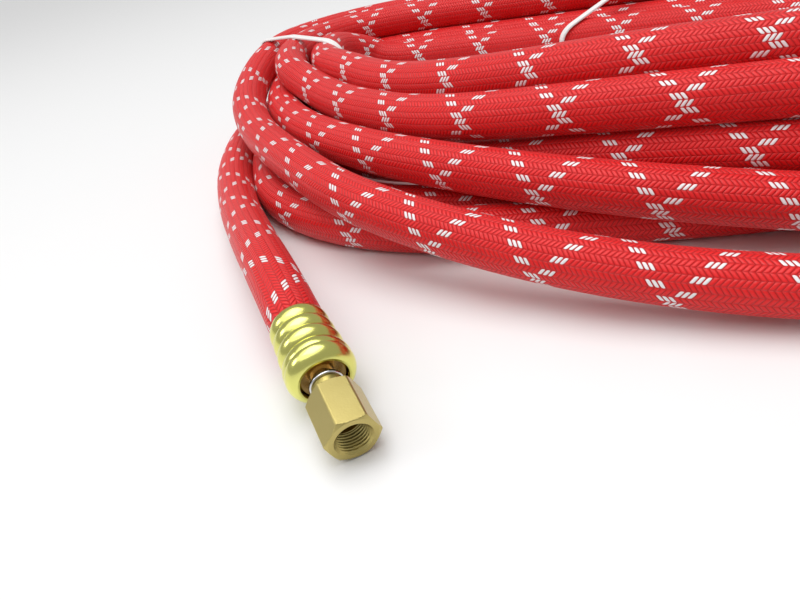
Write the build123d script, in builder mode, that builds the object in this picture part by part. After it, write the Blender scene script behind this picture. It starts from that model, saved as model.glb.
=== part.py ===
from build123d import *
from math import cos, sin, pi, radians, copysign, tan
import os

os.makedirs("parts", exist_ok=True)

# ---------------------------------------------------------------- hose sizes (mm)
HOSE_OD = 16.0              # over the braided cover
LINER_OD = 13.2             # outside of the inner tube
HOSE_BORE = 6.4             # air passage

# ---------------------------------------------------------------- coil sizes (mm)
COIL_LENGTH = 382.0         # centre line of the bundle, tip to tip
COIL_WIDTH = 182.0          # centre line of the bundle, near side to far side
COIL_SQUARENESS = 2.5       # 2 is an ellipse, higher is squarer
COIL_SKEW = 38.0            # how far the left tip leans towards the far side
COIL_CENTRE = (-3.3, 40.0)  # centre of the coil on the floor
STATIONS = 20               # cross-sections around the coil

# Cross-section of the bundle at each station, in hose diameters: inner edge, outer edge,
# height of the outer shoulder, height of the top. Station 0 is the right tip, 5 the far
# side, 10 the left tip and 15 the near side.
BUNDLE = [
    (-1.7, 1.6, 2.2, 2.9),
    (-1.8, 2.1, 2.0, 2.9),
    (-2.0, 1.8, 2.2, 2.8),
    (-2.2, 1.4, 2.4, 2.8),
    (-2.2, 1.4, 2.4, 2.8),
    (-2.2, 1.4, 2.4, 2.8),
    (-2.2, 1.4, 2.4, 2.8),
    (-2.2, 1.4, 2.4, 2.8),
    (-1.9, 1.5, 2.5, 2.9),
    (-1.7, 1.5, 2.6, 3.0),
    (-1.6, 1.5, 2.7, 3.0),
    (-1.8, 1.4, 2.4, 2.9),
    (-2.1, 1.9, 2.0, 2.7),
    (-2.2, 2.3, 1.9, 3.0),
    (-2.3, 2.5, 1.6, 3.3),
    (-2.0, 3.0, 1.3, 3.6),
    (-1.9, 3.0, 1.3, 3.7),
    (-1.9, 2.3, 1.6, 3.5),
    (-1.8, 1.9, 1.8, 3.2),
    (-1.7, 1.5, 2.0, 3.0),
]
BUNDLE_SHOULDER = 0.55      # where the flat top ends, as a fraction of the width
BUNDLE_ROUNDING = 0.45      # corner radius, in hose diameters
TIE_LIFT = 2.8              # the bundle's underside where a tie passes beneath it

# ---------------------------------------------------------------- cable ties (mm)
TIE_WIDTH = 3.6
TIE_THICKNESS = 1.2
TIE_CLEARANCE = 1.5
TIE_HEAD = (6.0, 5.4, 5.0)  # along the strap, across it, and high
LEFT_TIE_STATION = 10
LEFT_TIE_SKEW = 0.0         # degrees each tie is slewed from square across the bundle
BACK_TIE_STATION = 5
BACK_TIE_SKEW = 30.0

# ---------------------------------------------------------------- end fitting sizes (mm)
NUT_ACROSS_FLATS = 13.0
NUT_LENGTH = 15.0           # the hexagon
NUT_NECK_WALL = 1.2         # round neck behind the hexagon
NUT_NECK_LENGTH = 3.9
NUT_CHAMFER = 1.0
THREAD_MINOR = 8.566        # G1/8 female
THREAD_HEIGHT = 0.667       # radial, for the countersink and the undercut behind the thread
THREAD_DEPTH = 6.5
SOCKET_DEPTH = 10.2         # from the mouth to the shoulder inside the nut
NECK_OD = 6.2               # stem where the nut turns on it
RUNNING_CLEARANCE = 0.10    # radial, nut and thrust ring on the stem
NOSE_STEP = 0.8             # the coned nose stands this far out from the neck
NOSE_LENGTH = 2.9
STEM_BORE = 3.5
THRUST_RING_WALL = 1.5
THRUST_RING_WIDTH = 1.3
FACE_GAP = 0.15             # between faces that turn against each other
FLOAT_TRAVEL = 1.5          # the nut slides this far back along the stem
COLLAR_CLEARANCE = 0.5      # radial, collar inside the ferrule
COLLAR_WIDTH = 3.0
COLLAR_RECESS = 1.3         # collar below the ferrule's mouth
MOUTH_GAP = 5.9             # hexagon to the ferrule's mouth
FERRULE_BORE = 14.0
FERRULE_WALL = 0.9          # under the grooves
FERRULE_LIP = 0.3           # the mouth closes in by this much
FERRULE_CREST_RISE = [1.55, 1.2, 0.85, 0.65]    # crests above the grooves, from the mouth
FERRULE_PITCH = [9.0, 5.3, 4.8, 4.4]        # length of each crimped band
CRIMPED_COVER = 1.1         # thickness of the cover where the ferrule squeezes it
HOSE_TAPER = 2.0            # length over which the hose grows back to its full size
BARB_CREST = HOSE_BORE
BARB_ROOT = 5.5
BARB_COUNT = 5

# ---------------------------------------------------------------- where the two ends lie
LEAD_MOUTH = (-57.8, -156.0, 6.85)
LEAD_HEADING = -45.5        # degrees from +X, the way the lead fitting points
LEAD_DROOP = 9.0            # degrees below level
LEAD_HEX_ROLL = 7.7         # degrees the hexagon is turned from flat side up
TAIL_MOUTH = (99.7, -156.0, 6.85)
TAIL_HEADING = -128.0
TAIL_DROOP = 9.0
TAIL_HEX_ROLL = -4.0

# Points the hose passes through between each fitting and the coil.
STRAIGHT_END = 24.0         # straight hose behind each ferrule
LEAD_ROUTE = [
    (-131.3, -81.0, 15.0),
    (-163.3, -46.0, 9.8),
    (-191.3, -8.0, 8.4),
    (-209.3, 34.0, 9.0),
    (-211.3, 76.0, 10.0),
]
TAIL_ROUTE = [
    (165.7, -73.0, 15.0),
    (191.7, -40.0, 9.8),
    (210.7, 0.0, 8.4),
    (218.7, 44.0, 9.0),
    (211.7, 88.0, 10.0),
]

# ---------------------------------------------------------------- sizes worked out from those
COLLAR_FACE = NUT_LENGTH + MOUTH_GAP + COLLAR_RECESS
FERRULE_START = NUT_LENGTH + MOUTH_GAP
FERRULE_END = FERRULE_START + sum(FERRULE_PITCH)
NECK_END = NUT_LENGTH + NUT_NECK_LENGTH
SWIVEL_BORE = NECK_OD + 2 * RUNNING_CLEARANCE
NUT_NECK_OD = SWIVEL_BORE + 2 * NUT_NECK_WALL
NOSE_OD = NECK_OD + 2 * NOSE_STEP
COLLAR_OD = FERRULE_BORE - 2 * COLLAR_CLEARANCE
FERRULE_GROOVE = FERRULE_BORE + 2 * FERRULE_WALL
CRIMPED_LINER = FERRULE_BORE - 2 * CRIMPED_COVER


def along(mouth, heading, droop, distance):
    """The point a distance back from a fitting's mouth, along its axis."""
    flat = distance * cos(radians(droop))
    return (
        mouth[0] - flat * cos(radians(heading)),
        mouth[1] - flat * sin(radians(heading)),
        mouth[2] + distance * sin(radians(droop)),
    )


def seat_plane(mouth, heading, droop):
    """Plane through a fitting's axis: x runs back into the hose, y is the radius."""
    back = Vector(*along((0, 0, 0), heading, droop, 1.0))
    side = back.cross(Vector(0, 0, 1)).normalized()
    return Plane(origin=mouth, x_dir=back, z_dir=side)


def turned(seat, outline, label):
    """A round piece: its half outline turned about the fitting's axis."""
    with BuildPart() as piece:
        with BuildSketch(seat):
            with BuildLine():
                Polyline(*outline, close=True)
            make_face()
        revolve(axis=Axis(seat.origin, seat.x_dir))
    piece.part.label = label
    return piece.part


def make_ferrule(seat, label):
    """Crimped sleeve: one long rounded band at the mouth, then three short ones."""
    with BuildPart() as ferrule:
        with BuildSketch(seat):
            with BuildLine():
                x = FERRULE_START
                mouth = FERRULE_BORE / 2 - FERRULE_LIP
                start = (x, FERRULE_BORE / 2 + 0.2)
                Line((x, mouth), start)
                for band, (rise, pitch) in enumerate(zip(FERRULE_CREST_RISE, FERRULE_PITCH)):
                    crest = FERRULE_GROOVE / 2 + rise
                    end = (x + pitch, FERRULE_GROOVE / 2)
                    middle = (x + 0.52 * pitch, crest)
                    if band == 0:
                        ThreePointArc(start, (x + 0.16 * pitch, crest - 0.32 * rise), middle)
                        ThreePointArc(middle, (x + 0.82 * pitch, crest - 0.16 * rise), end)
                    else:
                        ThreePointArc(start, middle, end)
                    start = end
                    x = x + pitch
                Line(start, (x, FERRULE_BORE / 2))
                Line((x, FERRULE_BORE / 2), (COLLAR_FACE, FERRULE_BORE / 2))
                Line((COLLAR_FACE, FERRULE_BORE / 2), (COLLAR_FACE, mouth))
                Line((COLLAR_FACE, mouth), (FERRULE_START, mouth))
            make_face()
        revolve(axis=Axis(seat.origin, seat.x_dir))
    ferrule.part.label = label
    return ferrule.part


def make_stem(seat, label):
    """Hollow stem: coned nose, neck, collar and barbs."""
    bore = STEM_BORE / 2
    nose_back = SOCKET_DEPTH - 2 * FACE_GAP
    nose_front = nose_back - NOSE_LENGTH
    collar_back = COLLAR_FACE + COLLAR_WIDTH
    outline = [
        (nose_front, bore),
        (nose_front, NOSE_OD / 2 - 1.2),
        (nose_front + 1.6, NOSE_OD / 2),
        (nose_back, NOSE_OD / 2),
        (nose_back, NECK_OD / 2),
        (COLLAR_FACE + 0.9, NECK_OD / 2),
        (COLLAR_FACE + 0.9, NECK_OD / 2 + 0.6),
        (COLLAR_FACE, COLLAR_OD / 2 - 0.5),
        (COLLAR_FACE + 0.5, COLLAR_OD / 2),
        (collar_back, COLLAR_OD / 2),
        (collar_back, BARB_ROOT / 2),
    ]
    barb = (FERRULE_END - collar_back - 1.0) / BARB_COUNT
    for tooth in range(BARB_COUNT):
        x = collar_back + 0.4 + tooth * barb
        outline += [(x, BARB_ROOT / 2), (x, BARB_CREST / 2), (x + barb - 0.4, BARB_ROOT / 2)]
    outline += [(FERRULE_END - 0.6, BARB_ROOT / 2), (FERRULE_END - 0.6, bore)]
    return turned(seat, outline, label)


def make_thrust_ring(seat, label):
    """Loose round-edged ring behind the nut."""
    inner = SWIVEL_BORE / 2
    middle = inner + THRUST_RING_WALL / 2
    front = NECK_END + FACE_GAP
    with BuildPart() as ring:
        with BuildSketch(seat):
            with Locations((front + THRUST_RING_WIDTH / 2, middle)):
                RectangleRounded(THRUST_RING_WIDTH, THRUST_RING_WALL, 0.45)
        revolve(axis=Axis(seat.origin, seat.x_dir))
    ring.part.label = label
    return ring.part


def make_nut(seat, roll, label):
    """Swivel nut: chamfered hexagon, round neck, threaded mouth and a plain rear bore."""
    across = Plane(origin=seat.origin, x_dir=seat.y_dir, z_dir=seat.x_dir)
    corner = NUT_ACROSS_FLATS / cos(pi / 6) / 2
    face = corner - NUT_CHAMFER * 1.15
    swivel = SWIVEL_BORE / 2
    minor = THREAD_MINOR / 2
    relief = minor + THREAD_HEIGHT
    with BuildPart() as nut:
        with BuildSketch(across):
            RegularPolygon(NUT_ACROSS_FLATS / 2, 6, major_radius=False, rotation=30 + roll)
        extrude(amount=NUT_LENGTH)
        with BuildSketch(seat):
            with BuildLine():
                Polyline(
                    (0, 0),
                    (0, face),
                    (NUT_CHAMFER * 0.7, corner + 0.05),
                    (NUT_LENGTH - NUT_CHAMFER * 0.7, corner + 0.05),
                    (NUT_LENGTH, face),
                    (NUT_LENGTH, 0),
                    close=True,
                )
            make_face()
        revolve(axis=Axis(seat.origin, seat.x_dir), mode=Mode.INTERSECT)
        with BuildSketch(seat):
            with BuildLine():
                Polyline(
                    (NUT_LENGTH - 0.5, 0),
                    (NUT_LENGTH - 0.5, NUT_NECK_OD / 2),
                    (NECK_END - 0.5, NUT_NECK_OD / 2),
                    (NECK_END, NUT_NECK_OD / 2 - 0.5),
                    (NECK_END, 0),
                    close=True,
                )
            make_face()
        revolve(axis=Axis(seat.origin, seat.x_dir))
        with BuildSketch(seat):
            with BuildLine():
                Polyline(
                    (-0.1, 0),
                    (-0.1, relief + 0.1),
                    (THREAD_HEIGHT, minor),
                    (THREAD_DEPTH, minor),
                    (THREAD_DEPTH + THREAD_HEIGHT, relief),
                    (SOCKET_DEPTH, relief),
                    (SOCKET_DEPTH, swivel),
                    (NECK_END + 0.1, swivel),
                    (NECK_END + 0.1, 0),
                    close=True,
                )
            make_face()
        revolve(axis=Axis(seat.origin, seat.x_dir), mode=Mode.SUBTRACT)
    nut.part.label = label
    return nut.part


def corner_radii(points):
    """The largest easy bend at each corner: 0.45 of the shorter run over tan(half the turn)."""
    radii = []
    for before, here, after in zip(points, points[1:], points[2:]):
        run_in = Vector(*here) - Vector(*before)
        run_out = Vector(*after) - Vector(*here)
        turn = radians(run_in.get_angle(run_out))
        radii.append(0.45 * min(run_in.length, run_out.length) / tan(turn / 2))
    return radii


def make_tube(seat, points, outer, inner, crimped_outer, crimped_inner, label):
    """A length of hose layer: squeezed inside the ferrule, then along its route."""
    start = COLLAR_FACE + COLLAR_WIDTH
    full = FERRULE_END + HOSE_TAPER
    radii = corner_radii(points)
    print(label, "bend radii", [round(r) for r in radii])
    with BuildPart() as tube:
        with BuildSketch(seat):
            with BuildLine():
                Polyline(
                    (start, crimped_inner / 2),
                    (start, crimped_outer / 2),
                    (FERRULE_END, crimped_outer / 2),
                    (full, outer / 2),
                    (full, inner / 2),
                    (FERRULE_END, crimped_inner / 2),
                    close=True,
                )
            make_face()
        revolve(axis=Axis(seat.origin, seat.x_dir))
        with BuildLine() as route:
            FilletPolyline(*points, radius=radii)
        with BuildSketch(Plane(origin=route.line @ 0, z_dir=route.line % 0)):
            Circle(outer / 2)
            Circle(inner / 2, mode=Mode.SUBTRACT)
        sweep(path=route.line)
    tube.part.label = label
    return tube.part


def station_point(angle):
    """A point of the coil's centre line on the floor plan."""
    power = 2 / COIL_SQUARENESS
    x = COIL_LENGTH / 2 * copysign(abs(cos(angle)) ** power, cos(angle))
    y = COIL_WIDTH / 2 * copysign(abs(sin(angle)) ** power, sin(angle))
    lean = COIL_SKEW * (max(0.0, -x) / (COIL_LENGTH / 2)) ** 2
    return Vector(COIL_CENTRE[0] + x, COIL_CENTRE[1] + y + lean, 0)


def station_plane(station):
    """Upright plane across the bundle: x points outwards, y points up."""
    angle = 2 * pi * station / STATIONS
    step = pi / STATIONS
    tangent = (station_point(angle + step) - station_point(angle - step)).normalized()
    outward = Vector(tangent.Y, -tangent.X, 0)
    return Plane(origin=station_point(angle), x_dir=outward, z_dir=outward.cross(Vector(0, 0, 1)))


def bundle_outline(station, grow=0.0):
    """Corners of the bundle's cross-section."""
    inner, outer, shoulder, top = [HOSE_OD * edge for edge in BUNDLE[station % STATIONS]]
    near_tie = min(abs(station % STATIONS - tie) for tie in (LEFT_TIE_STATION, BACK_TIE_STATION))
    base = TIE_LIFT if near_tie <= 1 else 0.0
    flat_end = inner + BUNDLE_SHOULDER * (outer - inner)
    return [
        (inner - grow, base - grow),
        (outer + grow, base - grow),
        (outer + grow, shoulder + 0.4 * grow),
        (flat_end + 0.4 * grow, top + grow),
        (inner - grow, top + grow),
    ]


def make_coil(label):
    """The outer shape of the coiled hose, as two lofted halves joined into one ring."""
    half = STATIONS // 2
    with BuildPart() as coil:
        for first in (0, half):
            for station in range(first, first + half + 1):
                with BuildSketch(station_plane(station)):
                    with BuildLine():
                        Polyline(*bundle_outline(station), close=True)
                    make_face()
                    fillet(vertices(), BUNDLE_ROUNDING * HOSE_OD)
            loft(ruled=True)
    coil.part.label = label
    return coil.part


def make_tie(station, skew, label):
    """A cable tie drawn round the bundle, its head on the outer side."""
    square = station_plane(station)
    plane = Plane(
        square.origin,
        x_dir=square.x_dir.rotate(Axis.Z, skew),
        z_dir=square.z_dir.rotate(Axis.Z, skew),
    )
    stretch = 1 / cos(radians(skew))
    gap = TIE_CLEARANCE
    rounding = BUNDLE_ROUNDING * HOSE_OD
    outer = HOSE_OD * BUNDLE[station % STATIONS][1] * stretch + gap
    middle = HOSE_OD * BUNDLE[station % STATIONS][2] / 2
    with BuildPart() as tie:
        with BuildSketch(plane):
            with BuildLine():
                outside = bundle_outline(station, gap + TIE_THICKNESS)
                Polyline(*[(x * stretch, y) for x, y in outside], close=True)
            make_face()
            fillet(vertices(), rounding + gap + TIE_THICKNESS)
            with BuildSketch(plane, mode=Mode.SUBTRACT):
                with BuildLine():
                    inside = bundle_outline(station, gap)
                    Polyline(*[(x * stretch, y) for x, y in inside], close=True)
                make_face()
                fillet(vertices(), rounding + gap)
        extrude(amount=TIE_WIDTH / 2, both=True)
        length, width, height = TIE_HEAD
        with BuildSketch(plane):
            with Locations((outer + 0.2 + height / 2, middle)):
                RectangleRounded(height, length, 0.6)
        extrude(amount=width / 2, both=True)
    tie.part.label = label
    return tie.part


def make_end(name, mouth, heading, droop, roll, route):
    """Every piece of one hose end, by node name."""
    seat = seat_plane(mouth, heading, droop)
    start = along(mouth, heading, droop, FERRULE_END + HOSE_TAPER)
    straight = along(mouth, heading, droop, FERRULE_END + STRAIGHT_END)
    points = [start, straight] + route
    return {
        name + "_ferrule": make_ferrule(seat, name + "_ferrule"),
        name + "_stem": make_stem(seat, name + "_stem"),
        name + "_thrust_ring": make_thrust_ring(seat, name + "_thrust_ring"),
        name + "_swivel_nut": make_nut(seat, roll, name + "_swivel_nut"),
        name + "_hose_liner": make_tube(
            seat, points, LINER_OD, HOSE_BORE, CRIMPED_LINER, HOSE_BORE, name + "_hose_liner"
        ),
        name + "_hose_cover": make_tube(
            seat, points, HOSE_OD, LINER_OD, FERRULE_BORE, CRIMPED_LINER, name + "_hose_cover"
        ),
    }


pieces = {}
pieces.update(make_end("lead", LEAD_MOUTH, LEAD_HEADING, LEAD_DROOP, LEAD_HEX_ROLL, LEAD_ROUTE))
pieces.update(make_end("tail", TAIL_MOUTH, TAIL_HEADING, TAIL_DROOP, TAIL_HEX_ROLL, TAIL_ROUTE))
pieces["hose_coil"] = make_coil("hose_coil")
pieces["left_tie"] = make_tie(LEFT_TIE_STATION, LEFT_TIE_SKEW, "left_tie")
pieces["back_tie"] = make_tie(BACK_TIE_STATION, BACK_TIE_SKEW, "back_tie")

for name, piece in pieces.items():
    export_step(piece, "parts/" + name + ".step")
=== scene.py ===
from math import cos, copysign, pi, radians, sin

import bpy
import numpy as np
from mathutils import Matrix, Vector


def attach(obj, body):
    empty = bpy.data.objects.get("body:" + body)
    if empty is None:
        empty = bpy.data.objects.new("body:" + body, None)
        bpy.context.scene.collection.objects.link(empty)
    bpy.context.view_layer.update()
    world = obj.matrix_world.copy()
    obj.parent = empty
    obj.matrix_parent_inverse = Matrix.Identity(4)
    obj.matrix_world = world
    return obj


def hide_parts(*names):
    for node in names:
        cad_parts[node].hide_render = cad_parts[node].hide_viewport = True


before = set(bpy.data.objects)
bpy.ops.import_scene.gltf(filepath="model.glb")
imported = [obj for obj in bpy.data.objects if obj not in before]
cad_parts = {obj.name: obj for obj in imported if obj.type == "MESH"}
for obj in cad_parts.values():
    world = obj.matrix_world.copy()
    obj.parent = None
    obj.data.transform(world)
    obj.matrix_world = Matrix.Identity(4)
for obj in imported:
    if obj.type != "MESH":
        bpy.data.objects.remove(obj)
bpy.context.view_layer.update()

MM = 0.001

# ---------------------------------------------------------------- hose (mm)
HOSE = 16.0
RINGS_AROUND = 48

# Centre line of the coil: a rounded oval, its left tip leaning towards the far side.
COIL_CENTRE = (-3.3, 40.0)
COIL_HALF_LENGTH = 191.0
COIL_HALF_WIDTH = 91.0
COIL_SQUARENESS = 2.5
COIL_SKEW = 38.0
STATIONS = 20
PASSES = 7

# Where each pass of the hose lies across the bundle, in the order the hose makes the passes:
# distance outwards from the centre line, and height. Station 0 is the left tip, 5 the far
# side, 10 the right tip and 15 the near side.
LANES = {
    0: [(15, 8.3), (-1, 8.3), (-17, 8.3), (-9, 22.3), (-2, 36.5), (-18, 35.5), (7, 22.3), (15, 36.5)],
    2: [(12, 8), (-4.5, 8), (-21, 8), (-12.5, 22), (-5, 36.5), (-29, 22), (4, 22), (11.5, 36)],
    6: [(12, 8), (-4.5, 8), (-21, 8), (-12.5, 22), (-5, 36.5), (-29, 22), (4, 22), (11.5, 36)],
    8: [(11, 8), (-6, 8), (-23, 9), (-12, 31), (-1, 39), (-27, 22), (6, 22), (22, 20)],
    9: [(10, 8), (-7, 8), (-24, 10), (-11, 37), (4, 43), (-18, 23), (12, 22), (28, 10)],
    10: [(8, 8), (-8.5, 8), (-24, 13), (-10, 38), (4, 46), (-7, 22.5), (17, 22)],
    11: [(4, 8), (-12.5, 8), (-22, 20.5), (-8, 37.5), (-2, 51), (0, 23.5), (20, 21)],
    12: [(-3, 8), (-19.5, 8), (-14, 22), (-5.5, 36), (-10, 52), (3, 22.5), (25, 14)],
    13: [(-8, 8), (-24.5, 8), (-9, 22), (-7, 36.5), (-17, 50), (5, 16.5), (33, 9.5)],
    14: [(-12, 8), (-28, 8), (-4, 22.5), (-12, 36.5), (-22, 49), (4, 9), (41, 8.5)],
    15: [(1, 8), (-15.5, 8), (-4, 21.5), (-7, 36.5), (-19, 50), (12, 20), (41, 12)],
    16: [(24, 8), (7.5, 8), (-10, 10.5), (-10.5, 31.2), (-28, 42), (4, 24), (33, 21.5)],
    17: [(30, 8), (12, 8), (-5, 9.5), (-15.6, 30.2), (-31.5, 37.5), (-0.5, 24.5), (18, 24)],
    18: [(16.5, 8), (0, 8), (-16, 10), (-17, 30), (-31, 38), (-2, 24), (14.5, 25)],
    19: [(9, 8), (-8, 8), (-16.5, 22), (-5, 37.5), (-22, 37), (0, 22.5), (15, 29.5)],
}
TIED = {0: 1.5, 5: 1.5}     # the bundle stands this much higher over a tie
TAIL_STATION = 8            # station of the last pass where the tail comes away

# The two fittings: mouth of the nut, heading, droop below level, turn of the hexagon.
LEAD = ((-57.8, -156.0, 6.85), -45.5, 9.0, 7.7)
TAIL = ((99.7, -156.0, 6.85), -128.0, 9.0, -4.0)
COLLAR_BACK = 25.2          # from the mouth to where the hose butts on the collar
FERRULE_END = 44.4
STRAIGHT_END = 68.4
LEAD_ROUTE = [
    (-131.3, -81.0, 15.0),
    (-163.3, -46.0, 9.8),
    (-191.3, -8.0, 8.4),
    (-209.3, 34.0, 9.0),
]
TAIL_ROUTE = [
    (165.7, -73.0, 15.0),
    (191.7, -40.0, 9.8),
    (210.7, 0.0, 8.4),
    (218.7, 44.0, 9.0),
]


def along(end, distance):
    mouth, heading, droop, roll = end
    flat = distance * cos(radians(droop))
    return np.array([
        mouth[0] - flat * cos(radians(heading)),
        mouth[1] - flat * sin(radians(heading)),
        mouth[2] + distance * sin(radians(droop)),
    ])


def centre_line(angle):
    power = 2 / COIL_SQUARENESS
    x = COIL_HALF_LENGTH * copysign(abs(cos(angle)) ** power, cos(angle))
    y = COIL_HALF_WIDTH * copysign(abs(sin(angle)) ** power, sin(angle))
    lean = COIL_SKEW * (max(0.0, -x) / COIL_HALF_LENGTH) ** 2
    return np.array([COIL_CENTRE[0] + x, COIL_CENTRE[1] + y + lean, 0.0])


def spoke(station):
    angle = pi - 2 * pi * station / STATIONS
    step = pi / STATIONS
    tangent = centre_line(angle + step) - centre_line(angle - step)
    tangent /= np.linalg.norm(tangent)
    return centre_line(angle), np.array([tangent[1], -tangent[0], 0.0])


def lane(turn, station):
    """Offset of one pass at one station, eased in a straight line between the listed ones."""
    before = max(key for key in LANES if key <= station)
    after = min([key for key in LANES if key > station], default=STATIONS)
    here = np.array(LANES[before][turn], float)
    if after == STATIONS:
        there = np.array(LANES[0][turn + 1], float)
    else:
        row = LANES[after]
        there = np.array(row[min(turn, len(row) - 1)], float)
    return here + (there - here) * (station - before) / (after - before)


def coil_points():
    points = []
    for count in range(PASSES * STATIONS + TAIL_STATION + 1):
        turn, station = divmod(count, STATIONS)
        centre, outward = spoke(station)
        out, up = lane(turn, station)
        points.append(centre + outward * out + np.array([0, 0, up + TIED.get(station, 0.0)]))
    return points


def spline_weights(count, per_run=6):
    """How much each control point of an open quadratic spline counts at samples along it."""
    knots = np.array([0, 0] + list(range(count - 1)) + [count - 2, count - 2], float)
    places = np.linspace(0, count - 2, (count - 2) * per_run + 1)
    places[-1] -= 1e-9
    weights = np.zeros((len(places), count))
    for row, place in enumerate(places):
        run = min(int(place), count - 3)
        k = knots[run + 1:run + 5]
        left = (place - k[1]) / (k[2] - k[1])
        low = left / (k[2] - k[0]) * (k[2] - k[1])
        first = (k[2] - place) / (k[2] - k[0]) * (k[2] - place) / (k[2] - k[1])
        last = (place - k[1]) / (k[3] - k[1]) * (place - k[1]) / (k[2] - k[1])
        weights[row, run] = first
        weights[row, run + 2] = last
        weights[row, run + 1] = 1 - first - last
    return weights


def settle(points, fixed_start, fixed_end, rounds=260, apart=15.9):
    """Lets neighbouring turns push each other and the floor until none of them overlap."""
    start = points.copy()
    points = points.copy()
    weights = spline_weights(len(points))
    share = (weights ** 2).sum(1)[:, None]
    samples = len(weights)
    place = np.arange(samples)
    near_self = np.abs(place[:, None] - place[None, :]) < 18
    free = np.zeros((len(points), 1))
    free[fixed_start:len(points) - fixed_end] = 1.0
    for step in range(rounds):
        line = weights @ points
        square = (line ** 2).sum(1)
        gap = np.sqrt(np.maximum(square[:, None] + square[None, :] - 2 * line @ line.T, 0))
        gap[near_self] = 1000.0
        a, b = np.nonzero(gap < apart)
        away = line[a] - line[b]
        push = away / np.maximum(gap[a, b], 1e-6)[:, None] * (apart - gap[a, b])[:, None]
        force = np.zeros_like(line)
        np.add.at(force, a, push)
        touching = np.maximum(np.bincount(a, minlength=samples), 1)[:, None]
        force = force / touching * 0.5
        force[:, 2] += np.clip(HOSE / 2 - line[:, 2], 0, None)
        pushed = (np.abs(force).sum(1) > 0) * 1.0
        move = (weights.T @ (force / share)) / np.maximum(weights.T @ pushed, 1.0)[:, None]
        points += move * free * 0.9
        if step < rounds - 80:
            bend = np.zeros_like(points)
            bend[1:-1] = points[:-2] - 2 * points[1:-1] + points[2:]
            bend[1:-1] -= start[:-2] - 2 * start[1:-1] + start[2:]
            points += bend * free * 0.06
            points[:, 2:3] -= 0.02 * free
    return points


lead_points = [along(LEAD, d) for d in (COLLAR_BACK, FERRULE_END, STRAIGHT_END)]
lead_points += [np.array(p) for p in LEAD_ROUTE]
tail_points = [np.array(p) for p in reversed(TAIL_ROUTE)]
tail_points += [along(TAIL, d) for d in (STRAIGHT_END, FERRULE_END, COLLAR_BACK)]
route = settle(np.array(lead_points + coil_points() + tail_points), len(lead_points), len(tail_points))


def spline_line(name, points, per_run):
    """Points along a smooth spline that has these control points."""
    data = bpy.data.curves.new(name, "CURVE")
    data.dimensions = "3D"
    data.resolution_u = per_run
    spline = data.splines.new("NURBS")
    spline.points.add(len(points) - 1)
    for point, place in zip(spline.points, points):
        point.co = (*[float(x) * MM for x in place], 1.0)
    spline.order_u = 3
    spline.use_endpoint_u = True
    holder = bpy.data.objects.new(name, data)
    bpy.context.scene.collection.objects.link(holder)
    bpy.context.view_layer.update()
    mesh = bpy.data.meshes.new_from_object(holder)
    line = np.array([v.co[:] for v in mesh.vertices])
    bpy.data.objects.remove(holder)
    bpy.data.meshes.remove(mesh)
    return line


line = spline_line("hose_line", route, 12)
steps = np.linalg.norm(np.diff(line, axis=0), axis=1)
keep = np.concatenate([[True], steps > 1e-6])
line = line[keep]
distance = np.concatenate([[0], np.cumsum(np.linalg.norm(np.diff(line, axis=0), axis=1))])
hose_length = float(distance[-1])


def frames_along(line):
    """A side direction at each point that never spins about the line."""
    tangent = np.gradient(line, axis=0)
    tangent /= np.linalg.norm(tangent, axis=1)[:, None]
    side = np.zeros_like(line)
    first = np.cross(tangent[0], [0, 0, 1])
    side[0] = first / np.linalg.norm(first)
    for i in range(1, len(line)):
        s = side[i - 1] - tangent[i] * np.dot(side[i - 1], tangent[i])
        side[i] = s / np.linalg.norm(s)
    return tangent, side, np.cross(tangent, side)


tangent, side, up = frames_along(line)


# ---------------------------------------------------------------- hose cover
def hose_radius(d):
    """The hose is squeezed where it enters a ferrule."""
    grip = (FERRULE_END - COLLAR_BACK) * MM
    edge = min(d, hose_length - d)
    if edge < grip:
        return CRIMPED_RADIUS * MM
    blend = min(1.0, (edge - grip) / (CRIMP_TAPER * MM))
    return (CRIMPED_RADIUS + (HOSE / 2 - CRIMPED_RADIUS) * sin(blend * pi / 2)) * MM


LEAD_OF_BRAID = 2.15 * HOSE * MM
BAKE_STRIPS = 12
YARNS = 24                  # stitches around the hose, and in one lead of the braid
CRIMPED_RADIUS = 6.95
CRIMP_TAPER = 2.2


def make_hose():
    n = RINGS_AROUND
    rings = len(line)
    verts = np.zeros((rings, n, 3))
    for i in range(rings):
        r = hose_radius(distance[i])
        for j in range(n):
            a = 2 * pi * j / n
            verts[i, j] = line[i] + r * (cos(a) * side[i] + sin(a) * up[i])
    faces = []
    for i in range(rings - 1):
        for j in range(n):
            k = (j + 1) % n
            faces.append((i * n + j, i * n + k, (i + 1) * n + k, (i + 1) * n + j))
    mesh = bpy.data.meshes.new("hose_cover")
    mesh.from_pydata(verts.reshape(-1, 3).tolist(), [], faces)
    braid = mesh.uv_layers.new(name="Braid")
    bake = mesh.uv_layers.new(name="OFBake")
    braid_uv = []
    bake_uv = []
    strip_length = hose_length / BAKE_STRIPS
    for i in range(rings - 1):
        strip = min(int(distance[i] / strip_length), BAKE_STRIPS - 1)
        for j in range(n):
            for ring, spot in ((i, j), (i, j + 1), (i + 1, j + 1), (i + 1, j)):
                braid_uv += [distance[ring] / LEAD_OF_BRAID * YARNS, spot / n * YARNS]
                bake_uv += [
                    0.01 + 0.98 * (distance[ring] - strip * strip_length) / (strip_length * 1.02),
                    (strip + 0.03 + 0.94 * spot / n) / BAKE_STRIPS,
                ]
    braid.data.foreach_set("uv", braid_uv)
    bake.data.foreach_set("uv", bake_uv)
    mesh.polygons.foreach_set("use_smooth", [True] * len(mesh.polygons))
    mesh.update()
    obj = bpy.data.objects.new("hose_cover", mesh)
    bpy.context.scene.collection.objects.link(obj)
    return obj


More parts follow.
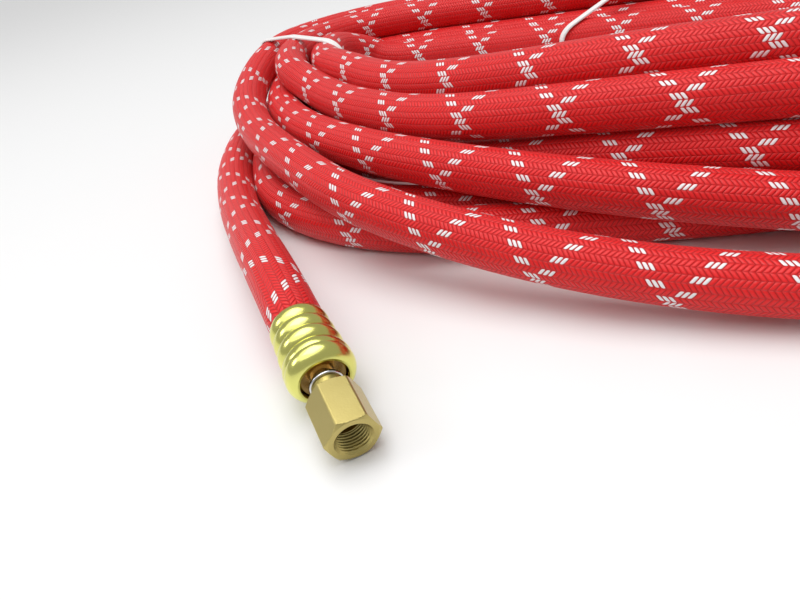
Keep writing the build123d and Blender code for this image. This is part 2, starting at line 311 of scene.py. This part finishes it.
# ---------------------------------------------------------------- materials
class Nodes:
    """Short ways to write a shader."""

    def __init__(self, name):
        self.material = bpy.data.materials.new(name)
        self.material.use_nodes = True
        self.tree = self.material.node_tree
        self.shader = self.tree.nodes["Principled BSDF"]

    def add(self, kind, **settings):
        node = self.tree.nodes.new(kind)
        for key, value in settings.items():
            setattr(node, key, value)
        return node

    def feed(self, socket, value):
        if isinstance(value, (int, float)):
            socket.default_value = value
        elif isinstance(value, tuple):
            socket.default_value = value
        else:
            self.tree.links.new(value, socket)

    def math(self, operation, *values, clamp=False):
        node = self.add("ShaderNodeMath", operation=operation, use_clamp=clamp)
        for socket, value in zip(node.inputs, values):
            self.feed(socket, value)
        return node.outputs[0]

    def mix(self, factor, a, b):
        node = self.add("ShaderNodeMix", data_type="RGBA")
        self.feed(node.inputs[0], factor)
        self.feed(node.inputs[6], a)
        self.feed(node.inputs[7], b)
        return node.outputs[2]

    def noise(self, scale, detail=2.0, vector=None, stretch=None):
        node = self.add("ShaderNodeTexNoise")
        node.inputs["Scale"].default_value = scale
        node.inputs["Detail"].default_value = detail
        source = vector or self.add("ShaderNodeTexCoord").outputs["Object"]
        if stretch:
            mapping = self.add("ShaderNodeMapping")
            mapping.inputs["Scale"].default_value = stretch
            self.feed(mapping.inputs["Vector"], source)
            source = mapping.outputs[0]
        self.feed(node.inputs["Vector"], source)
        return node.outputs["Fac"]

    def bump(self, height, distance, strength=1.0):
        node = self.add("ShaderNodeBump")
        node.inputs["Strength"].default_value = strength
        node.inputs["Distance"].default_value = distance
        self.feed(node.inputs["Height"], height)
        self.feed(self.shader.inputs["Normal"], node.outputs[0])

    def set(self, name, value):
        self.feed(self.shader.inputs[name], value)


def braid_material():
    """Plaited yarn: chevron stitches, with three white tracer yarns each way."""
    m = Nodes("braid")
    uv = m.add("ShaderNodeUVMap", uv_map="Braid")
    parts = m.add("ShaderNodeSeparateXYZ")
    m.feed(parts.inputs[0], uv.outputs[0])
    u, v = parts.outputs[0], parts.outputs[1]
    is_z = m.math("GREATER_THAN", m.math("FRACT", m.math("MULTIPLY", v, 0.5)), 0.5)
    s_run = m.math("SUBTRACT", u, v)
    z_run = m.math("ADD", u, v)
    run = m.math("ADD", s_run, m.math("MULTIPLY", is_z, m.math("SUBTRACT", z_run, s_run)))
    yarn = m.math("FLOOR", m.math("ADD", run, 480.0))
    place = m.math("MODULO", m.math("ADD", yarn, m.math("MULTIPLY", is_z, 1.0)), 24.0)
    tracer = m.math("LESS_THAN", place, 2.5)
    across = m.math("SUBTRACT", m.math("MULTIPLY", m.math("FRACT", m.math("ADD", run, 480.0)), 2.0), 1.0)
    width = m.math("SUBTRACT", m.math("MULTIPLY", m.math("FRACT", v), 2.0), 1.0)
    across2 = m.math("MULTIPLY", across, across)
    width2 = m.math("MULTIPLY", width, width)
    width4 = m.math("MULTIPLY", width2, width2)
    crown = m.math("SUBTRACT", 1.0, m.math("MULTIPLY", width4, 0.85))
    dome = m.math("MULTIPLY", m.math("SUBTRACT", 1.0, across2), crown)
    height = m.math("POWER", m.math("MAXIMUM", dome, 0.0), 0.5)
    strand = m.noise(2600.0, 2.0)
    patch = m.noise(60.0, 2.0)
    red = m.mix(patch, (0.72, 0.0095, 0.011, 1), (0.82, 0.015, 0.016, 1))
    white = m.mix(strand, (0.78, 0.76, 0.78, 1), (0.93, 0.92, 0.92, 1))
    core = m.math("MULTIPLY", m.math("SUBTRACT", dome, 0.40), 5.0, clamp=True)
    yarn_colour = m.mix(m.math("MULTIPLY", tracer, core), red, white)
    # painted shade: each stitch is coloured darker towards its low edges, so the crevices between the
    # yarns look shaded
    shade = m.math("ADD", 0.55, m.math("MULTIPLY", height, 0.45))
    yarn_painted_shade = m.mix(shade, (0.14, 0.002, 0.003, 1), yarn_colour)
    m.set("Base Color", yarn_painted_shade)
    m.set("Roughness", 0.38)
    m.set("Specular IOR Level", 0.35)
    m.set("Sheen Weight", 0.06)
    m.set("Sheen Roughness", 0.4)
    relief = m.math("ADD", height, m.math("MULTIPLY", strand, 0.25))
    m.bump(relief, 0.00035, 0.9)
    return m.material


def metal_material(name, colour, other, roughness, scratch, grain):
    m = Nodes(name)
    tone = m.noise(90.0, 3.0)
    m.set("Base Color", m.mix(tone, colour, other))
    m.set("Metallic", 1.0)
    fine = m.noise(grain, 4.0)
    m.set("Roughness", m.math("ADD", roughness, m.math("MULTIPLY", fine, 0.12)))
    m.bump(fine, 0.00002 * scratch, 0.6)
    return m.material


def nylon_material():
    m = Nodes("tie_nylon")
    m.set("Base Color", m.mix(m.noise(300.0), (0.86, 0.86, 0.84, 1), (0.80, 0.80, 0.79, 1)))
    m.set("Roughness", m.math("ADD", 0.28, m.math("MULTIPLY", m.noise(500.0), 0.1)))
    m.set("Subsurface Weight", 0.25)
    m.set("Subsurface Radius", (0.002, 0.002, 0.002))
    return m.material


braid = braid_material()
ferrule_brass = metal_material(
    "ferrule_brass", (0.80, 0.79, 0.24, 1), (0.68, 0.66, 0.17, 1), 0.15, 1.0, 900.0)
nut_brass = metal_material("nut_brass", (0.56, 0.47, 0.18, 1), (0.46, 0.37, 0.12, 1), 0.26, 1.5, 1800.0)
stem_brass = metal_material("stem_brass", (0.62, 0.42, 0.17, 1), (0.70, 0.50, 0.22, 1), 0.16, 1.0, 1200.0)
ring_steel = metal_material("ring_steel", (0.72, 0.72, 0.74, 1), (0.62, 0.62, 0.65, 1), 0.12, 0.6, 1500.0)
nylon = nylon_material()

# ---------------------------------------------------------------- the hose
hose = make_hose()
hose.data.materials.append(braid)
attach(hose, "hose")
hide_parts("lead_hose_cover", "lead_hose_liner", "tail_hose_cover", "tail_hose_liner", "hose_coil")

# ---------------------------------------------------------------- swivel nuts
NUT_LENGTH = 15.0
NUT_FLATS = 13.0
NECK_RADIUS = 4.4
NECK_END = 18.9
MINOR = 4.283
MAJOR = 4.80
PITCH = 0.907
THREAD_END = 6.4
RELIEF = 4.95
SOCKET = 10.2
SWIVEL = 3.2


def nut_outer(x, angle):
    """Radius of the chamfered hexagon at a distance behind its mouth."""
    turn = (angle + pi / 6) % (pi / 3) - pi / 6
    flat = NUT_FLATS / 2 / cos(turn)
    corner = NUT_FLATS / 2 / cos(pi / 6)
    from_end = min(x, NUT_LENGTH - x)
    cone = corner - 1.15 + from_end * 1.7
    return min(flat, cone, corner - 0.12)


def thread_radius(x, angle):
    """Radius of the threaded wall: a helical groove between the minor and major sizes."""
    phase = (x / PITCH - angle / (2 * pi)) % 1.0
    groove = 1 - abs(2 * phase - 1)
    groove = min(max((groove - 0.12) / 0.76, 0.0), 1.0)
    fade = min(1.0, max(0.0, (THREAD_END - x) / 0.5))
    mouth = MAJOR + 0.25 - x * 1.2
    return max(MINOR + (MAJOR - MINOR) * groove * fade, mouth)


def make_nut(name, end):
    around = 144
    profile = []
    for x in np.linspace(0.0, THREAD_END, 110):
        profile.append((x, "thread"))
    profile += [(7.0, RELIEF), (SOCKET, RELIEF), (SOCKET, SWIVEL), (NECK_END, SWIVEL)]
    profile.append((NECK_END, NECK_RADIUS - 0.5))
    profile.append((NECK_END - 0.2, NECK_RADIUS - 0.15))
    profile.append((NECK_END - 0.5, NECK_RADIUS))
    profile.append((NUT_LENGTH, NECK_RADIUS))
    for x in np.concatenate([np.linspace(NUT_LENGTH, NUT_LENGTH - 1.4, 10), np.linspace(1.4, 0.0, 10)]):
        profile.append((x, "hex"))
    verts = []
    for x, kind in profile:
        for j in range(around):
            a = 2 * pi * j / around
            if kind == "thread":
                r = thread_radius(x, a)
            elif kind == "hex":
                r = nut_outer(x, a)
            else:
                r = kind
            verts.append((x, r, a))
    mouth, heading, droop, roll = end
    origin = along(end, 0.0)
    back = along(end, 1.0) - origin
    sideways = np.cross(back, [0, 0, 1])
    sideways /= np.linalg.norm(sideways)
    upwards = np.cross(sideways, back)
    points = []
    for x, r, a in verts:
        angle = a + radians(roll)
        p = origin + back * x + r * (cos(angle) * upwards + sin(angle) * sideways)
        points.append(tuple(p * MM))
    rows = len(profile)
    faces = []
    for i in range(rows):
        k = (i + 1) % rows
        for j in range(around):
            n = (j + 1) % around
            faces.append((i * around + j, k * around + j, k * around + n, i * around + n))
    mesh = bpy.data.meshes.new(name)
    mesh.from_pydata(points, [], faces)
    mesh.update()
    obj = bpy.data.objects.new(name, mesh)
    bpy.context.scene.collection.objects.link(obj)
    obj.data.materials.append(nut_brass)
    for polygon in mesh.polygons:
        polygon.use_smooth = False
    return obj


for name, end in (("lead", LEAD), ("tail", TAIL)):
    nut = make_nut(name + "_nut_threaded", end)
    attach(nut, name + "_nut")
    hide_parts(name + "_swivel_nut")

# ---------------------------------------------------------------- cable ties
STRAP_WIDTH = 3.6 * MM
STRAP_THICKNESS = 1.15 * MM
STRAP_GAP = 0.1 * MM        # between the hose and the strap
STRAP_REACH = 85 * MM       # turns further from the tie than this are on the other side
STRAP_LOWEST = 1.4 * MM     # inner face above the floor, so that the strap fits under the hose
HEAD_SIZE = (5.0 * MM, 5.4 * MM, 6.0 * MM)
HEAD_LOWEST = 12 * MM
HEAD_FACES = ((0, 1, 3, 2), (4, 6, 7, 5), (0, 4, 5, 1), (2, 3, 7, 6), (0, 2, 6, 4), (1, 5, 7, 3))


def crossings(origin, normal, reach):
    """Where the hose's line passes through an upright plane, near the tie."""
    side_of = (line - origin) @ normal
    found = []
    for i in np.nonzero(side_of[:-1] * side_of[1:] < 0)[0]:
        t = side_of[i] / (side_of[i] - side_of[i + 1])
        p = line[i] + (line[i + 1] - line[i]) * t
        if np.linalg.norm(p[:2] - origin[:2]) < reach:
            direction = (line[i + 1] - line[i]) / np.linalg.norm(line[i + 1] - line[i])
            found.append((p, abs(float(direction @ normal))))
    return found


def hull(points):
    """The outline of a set of points, counter-clockwise."""
    points = sorted(map(tuple, points))

    def half(sequence):
        chain = []
        for p in sequence:
            while len(chain) > 1:
                (x1, y1), (x2, y2) = chain[-2], chain[-1]
                if (x2 - x1) * (p[1] - y1) - (y2 - y1) * (p[0] - x1) > 0:
                    break
                chain.pop()
            chain.append(p)
        return chain[:-1]

    return half(points) + half(reversed(points))


def strap_path(origin, outward, normal):
    """Evenly spaced points of the tight loop round the turns, and the way out at each."""
    radius = HOSE / 2 * MM + STRAP_GAP
    rim = []
    for p, square in crossings(origin, normal, STRAP_REACH):
        for k in range(48):
            a = 2 * pi * k / 48
            across = (p - origin) @ outward + radius / max(square, 0.5) * cos(a)
            rim.append((across, p[2] + radius * sin(a)))
    shape = np.array(hull(rim))
    shape[:, 1] = np.maximum(shape[:, 1], STRAP_LOWEST)
    loop = np.vstack([shape, shape[:1]])
    run = np.concatenate([[0], np.cumsum(np.linalg.norm(np.diff(loop, axis=0), axis=1))])
    even = np.linspace(0, run[-1], 161)[:-1]
    path = np.stack([np.interp(even, run, loop[:, 0]), np.interp(even, run, loop[:, 1])], 1)
    ahead = np.roll(path, -1, 0) - np.roll(path, 1, 0)
    ahead /= np.linalg.norm(ahead, axis=1)[:, None]
    return path, np.stack([ahead[:, 1], -ahead[:, 0]], 1)


def strap_section():
    """The strap's section, across its width and out from the hose, with its edges bevelled."""
    half = STRAP_WIDTH / 2
    thick = STRAP_THICKNESS
    return [
        (-half, 0.0), (-half, 0.6 * thick), (-0.78 * half, thick),
        (0.78 * half, thick), (half, 0.6 * thick), (half, 0.0),
    ]


def head_corners(origin, outward, normal, path, outer):
    """Corners of the head, on the outermost point of the strap."""
    far = int(np.argmax(path[:, 0]))
    p = path[far] + outer[far] * STRAP_THICKNESS
    height = max(p[1], HEAD_LOWEST)
    corners = []
    for dx in (-0.2, 1.0):
        for dy in (-0.5, 0.5):
            for dz in (-0.5, 0.5):
                flat = origin + outward * (p[0] + dx * HEAD_SIZE[0]) + normal * dy * HEAD_SIZE[1]
                corners.append(tuple(flat + np.array([0, 0, height + dz * HEAD_SIZE[2]])))
    return corners


def make_tie(name, node, place, slew):
    """A strap drawn tight round every turn it crosses, with its head on the outer side."""
    origin = np.array([place[0] * MM, place[1] * MM, 0.0])
    outward = np.array([cos(radians(slew)), sin(radians(slew)), 0.0])
    normal = np.cross(outward, [0, 0, 1])
    path, outer = strap_path(origin, outward, normal)
    section = strap_section()
    verts = []
    for p, o in zip(path, outer):
        for w, t in section:
            q = p + o * t
            verts.append(tuple(origin + outward * q[0] + np.array([0, 0, q[1]]) + normal * w))
    n = len(section)
    rows = len(path)
    faces = []
    for i in range(rows):
        k = (i + 1) % rows
        for j in range(n):
            after = (j + 1) % n
            faces.append((i * n + j, i * n + after, k * n + after, k * n + j))
    base = len(verts)
    verts += head_corners(origin, outward, normal, path, outer)
    for q in HEAD_FACES:
        faces.append(tuple(base + v for v in q))
    mesh = bpy.data.meshes.new(name)
    mesh.from_pydata(verts, [], faces)
    mesh.update()
    obj = bpy.data.objects.new(name, mesh)
    bpy.context.scene.collection.objects.link(obj)
    bevel = obj.modifiers.new("edges", "BEVEL")
    bevel.width = 0.25 * MM
    bevel.segments = 2
    bevel.limit_method = "ANGLE"
    mesh.materials.append(nylon)
    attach(obj, "hose")
    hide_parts(node)


make_tie("left_strap", "left_tie", (-198.0, 70.0), 158.0)
make_tie("back_strap", "back_tie", (-17.0, 127.0), 38.0)

for node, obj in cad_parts.items():
    for key, material in (("ferrule", ferrule_brass), ("stem", stem_brass), ("thrust_ring", ring_steel)):
        if node.endswith(key):
            obj.data.materials.clear()
            obj.data.materials.append(material)

# ---------------------------------------------------------------- floor and light
bpy.ops.mesh.primitive_plane_add(size=6.0, location=(0, 0, 0))
floor = bpy.context.object
floor.name = "floor"
m = Nodes("floor")
m.set("Base Color", (0.84, 0.84, 0.84, 1))
m.set("Roughness", 0.35)
floor.data.materials.append(m.material)


def area_light(name, place, aim, size, power, colour=(1, 1, 1)):
    data = bpy.data.lights.new(name, "AREA")
    data.shape = "RECTANGLE"
    data.size = size[0]
    data.size_y = size[1]
    data.energy = power
    data.color = colour
    obj = bpy.data.objects.new(name, data)
    obj.location = place
    obj.rotation_euler = (Vector(aim) - Vector(place)).to_track_quat("-Z", "Y").to_euler()
    bpy.context.scene.collection.objects.link(obj)


area_light("overhead", (-0.15, 0.0, 0.9), (-0.05, 0.0, 0.0), (0.8, 0.7), 3.2)
area_light("left", (-0.9, -0.5, 0.6), (-0.1, -0.1, 0.0), (0.4, 0.3), 1.6)

sky = bpy.data.lights.new("sky", "SUN")
sky.energy = 1.4
sky.angle = radians(75)
sky_holder = bpy.data.objects.new("sky", sky)
sky_holder.rotation_euler = (radians(4), radians(-8), 0)
bpy.context.scene.collection.objects.link(sky_holder)

world = bpy.data.worlds.new("studio")
world.use_nodes = True
world.node_tree.nodes["Background"].inputs[0].default_value = (1, 1, 1, 1)
world.node_tree.nodes["Background"].inputs[1].default_value = 0.44
bpy.context.scene.world = world
bpy.context.scene.view_settings.view_transform = "Standard"

# ---------------------------------------------------------------- camera
camera_data = bpy.data.cameras.new("camera")
camera_data.sensor_width = 36.0
camera_data.lens = 31.5
camera_data.clip_start = 0.005
camera = bpy.data.objects.new("camera", camera_data)
bpy.context.scene.collection.objects.link(camera)
turn = Matrix.Rotation(radians(30.0), 3, "Z")
right = turn @ Vector((0.9694, -0.1322, -0.2067))
upward = turn @ Vector((0.2453, 0.5223, 0.8167))
backward = turn @ Vector((0.0, -0.8425, 0.5388))
pose = Matrix((right, upward, backward)).transposed().to_4x4()
pose.translation = Vector((18.7, -252.0, 118.7)) * MM
camera.matrix_world = pose
bpy.context.scene.camera = camera
